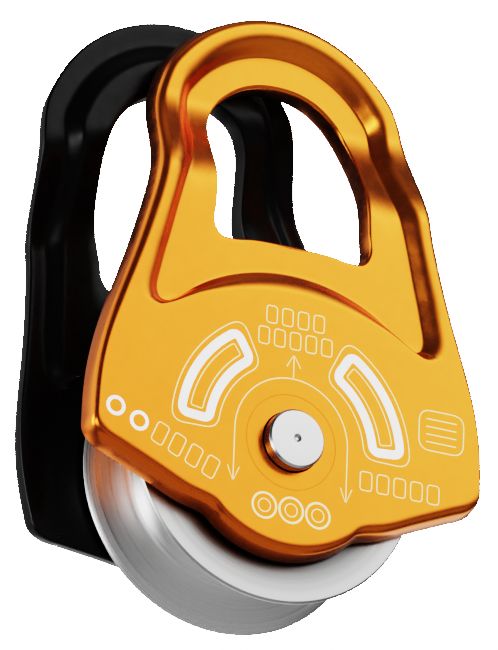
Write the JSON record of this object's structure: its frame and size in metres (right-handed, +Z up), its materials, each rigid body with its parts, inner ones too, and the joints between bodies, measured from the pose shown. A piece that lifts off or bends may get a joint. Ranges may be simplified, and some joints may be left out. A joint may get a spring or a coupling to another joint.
{
  "type": "rope pulley",
  "caption": "Small rope pulley: two swinging pressed side plates with carabiner eyes, on an axle with a grooved sheave and a sealed ball bearing.",
  "frame": {"origin": "centre of the rounded top of the front side plate's eye, on the sheave's mid-plane, where the carabiner holds the pulley", "axes": "+Z up, from the axle to the front plate's eye; the axle lies along Y, 35 mm below the origin; the front side plate faces -Y"},
  "size_m": [0.0507, 0.0242, 0.0699],
  "materials": {
    "front_plate_anodised": "gold-orange anodised, satin gloss",
    "rear_plate_anodised": "black anodised, satin",
    "sheave_turned": "bright turned, fine tool marks",
    "axle_steel": "turned stainless, faced end",
    "washer_steel": "plain stainless",
    "bearing_steel": "ground bearing steel",
    "ball_steel": "polished",
    "bush_bronze": "sintered bronze",
    "washer_polymer": "plain acetal",
    "cage_polymer": "moulded",
    "seal_rubber": "moulded nitrile"
  },
  "bodies": {
    "front_side": {"front_side_plate": "front_plate_anodised", "axle": "axle_steel", "front_spacer": "washer_steel", "rear_spacer": "washer_steel", "rear_thrust_washer": "washer_polymer", "rear_outer_washer": "washer_steel", "bearing_inner_race": "bearing_steel"},
    "rear_side": {"rear_side_plate": "rear_plate_anodised", "rear_plate_bush": "bush_bronze"},
    "sheave": {"sheave": "sheave_turned", "bearing_outer_race": "bearing_steel", "bearing_circlip": "washer_steel", "front_bearing_seal": "seal_rubber", "rear_bearing_seal": "seal_rubber"},
    "cage": {"bearing_cage": "cage_polymer", "bearing_ball_1": "ball_steel", "bearing_ball_2": "ball_steel", "bearing_ball_3": "ball_steel", "bearing_ball_4": "ball_steel", "bearing_ball_5": "ball_steel", "bearing_ball_6": "ball_steel", "bearing_ball_7": "ball_steel", "bearing_ball_8": "ball_steel", "bearing_ball_9": "ball_steel"}
  },
  "joints": [
    {"name": "rear_plate_swing", "type": "hinge", "parent": "front_side", "child": "rear_side", "pos_m": [0, 0, -0.035], "axis": [0, -1, 0], "continuous": true},
    {"name": "sheave_spin", "type": "hinge", "parent": "front_side", "child": "sheave", "pos_m": [0, 0, -0.035], "axis": [0, -1, 0], "continuous": true},
    {"name": "cage_orbit", "type": "hinge", "parent": "front_side", "child": "cage", "pos_m": [0, 0, -0.035], "axis": [0, -1, 0], "continuous": true}
  ],
  "couplings": [
    {"joint": "cage_orbit", "follows": "sheave_spin", "ratio": 0.5992}
  ]
}
